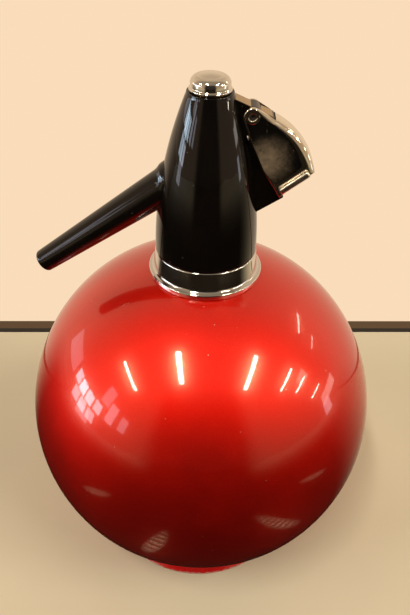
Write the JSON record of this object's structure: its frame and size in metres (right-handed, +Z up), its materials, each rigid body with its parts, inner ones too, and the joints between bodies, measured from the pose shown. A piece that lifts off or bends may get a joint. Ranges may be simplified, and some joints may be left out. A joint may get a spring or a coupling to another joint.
{
  "type": "soda siphon",
  "caption": "Ball-shaped soda siphon on a flared foot: screwed-on tapered head with a falling spout, a sprung squeeze lever, a collar nut and a capped gas port.",
  "frame": {"origin": "on the floor under the ball's axis, at the foot pad's face", "axes": "+Z up along the ball and tower axis, -X towards the spout, +X towards the lever, Y across them"},
  "size_m": [0.14, 0.14, 0.2114],
  "materials": {
    "vessel_red": "glossy metallic red lacquer",
    "foot_red": "gloss red enamel",
    "chrome": "bright chrome plate",
    "black_plastic": "polished black moulding",
    "black_inlay": "black, lightly hazed",
    "brass": "machined brass",
    "steel": "turned stainless steel",
    "rubber": "matt black rubber",
    "seal": "red-brown seal rubber",
    "tube_plastic": "natural white food-grade plastic",
    "foil": "thin bright foil"
  },
  "bodies": {
    "vessel": {"vessel_shell": "vessel_red", "neck_ring": "brass", "foot_ring": "foot_red", "foot_pad": "rubber"},
    "head": {"head_core": "brass", "neck_gasket": "seal", "fill_tube": "tube_plastic", "dip_tube": "tube_plastic", "dip_tube_seal": "seal", "dip_tube_nut": "brass", "waterway_plug": "brass", "gas_way_plug": "brass", "relief_disc": "foil", "relief_screw": "brass", "head_shell": "black_plastic", "spout": "black_plastic", "spout_liner": "steel", "valve_barrel": "brass", "gland_seal": "seal", "gland_sleeve": "brass", "valve_spring": "steel", "pivot_bush": "brass", "charge_port": "brass", "piercing_pin": "steel", "port_gasket": "seal", "check_spring": "steel"},
    "collar": {"collar": "chrome"},
    "lever": {"lever_frame": "chrome", "lever_inlay_left": "black_inlay", "lever_inlay_right": "black_inlay", "pivot_pin": "steel"},
    "stem": {"valve_stem": "steel", "valve_washer": "seal", "stem_nut": "brass"},
    "check": {"check_poppet": "seal"},
    "cap": {"cap": "chrome", "cap_liner": "rubber"}
  },
  "joints": [
    {"name": "head_lift", "type": "slide", "parent": "vessel", "child": "head", "axis": [0, 0, 1], "range_m": [0, 0.15]},
    {"name": "collar_turn", "type": "hinge", "parent": "head", "child": "collar", "pos_m": [0, 0, 0.1405], "axis": [0, 0, 1], "continuous": true},
    {"name": "lever_squeeze", "type": "hinge", "parent": "head", "child": "lever", "pos_m": [0.0135, 0, 0.1993], "axis": [0, 1, 0], "range_deg": [0, 7], "stiffness_Nm_per_rad": 0.25, "springref_deg": -20.05},
    {"name": "stem_slide", "type": "slide", "parent": "head", "child": "stem", "axis": [-0.829, 0, -0.5592], "range_m": [0, 0.0029], "deforming": ["valve_spring"]},
    {"name": "check_slide", "type": "slide", "parent": "head", "child": "check", "axis": [0, 0, -1], "range_m": [0, 0.001], "stiffness_N_per_m": 100, "springref_m": -0.002, "deforming": ["check_spring"]},
    {"name": "cap_lift", "type": "slide", "parent": "head", "child": "cap", "axis": [0, 0, 1], "range_m": [0, 0.025]}
  ],
  "couplings": [
    {"joint": "stem_slide", "follows": "lever_squeeze", "m_per_rad": 0.023042}
  ]
}
